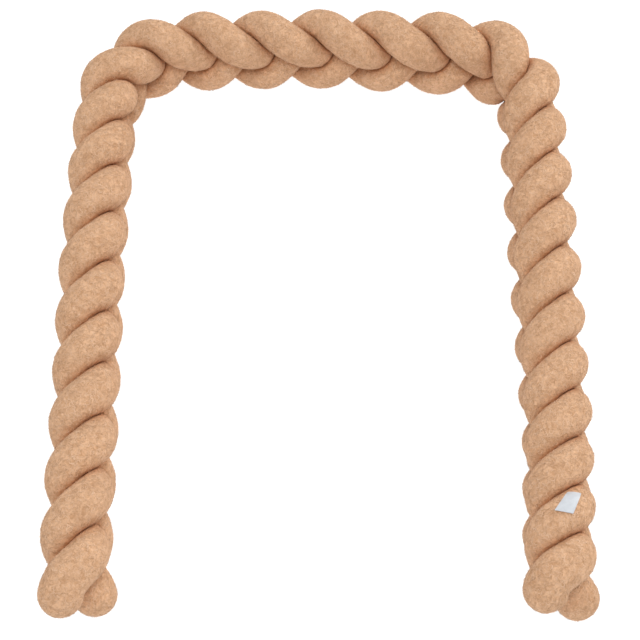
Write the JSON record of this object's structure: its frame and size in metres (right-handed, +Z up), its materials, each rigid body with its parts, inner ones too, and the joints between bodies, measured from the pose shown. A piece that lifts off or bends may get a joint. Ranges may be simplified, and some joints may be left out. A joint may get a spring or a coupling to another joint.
{
  "type": "crib bumper",
  "caption": "Plaited crib bumper of plump stuffed tubes in curly pile cloth, standing on its edge in a U that is open at the front, with a small bare label near one end.",
  "frame": {"origin": "on the floor, under the middle of the whole bumper", "axes": "+Z up, -Y towards the open end of the U, +X towards the arm that carries the label"},
  "size_m": [0.6334, 0.824, 0.124],
  "materials": {
    "tube_1_plush": "short curly pile",
    "tube_2_plush": "short curly pile",
    "tube_3_plush": "short curly pile",
    "label_satin": "smooth satin ribbon"
  },
  "bodies": {
    "root": {"tube_1": "tube_1_plush", "tube_2": "tube_2_plush", "tube_3": "tube_3_plush", "label": "label_satin"}
  },
  "joints": []
}
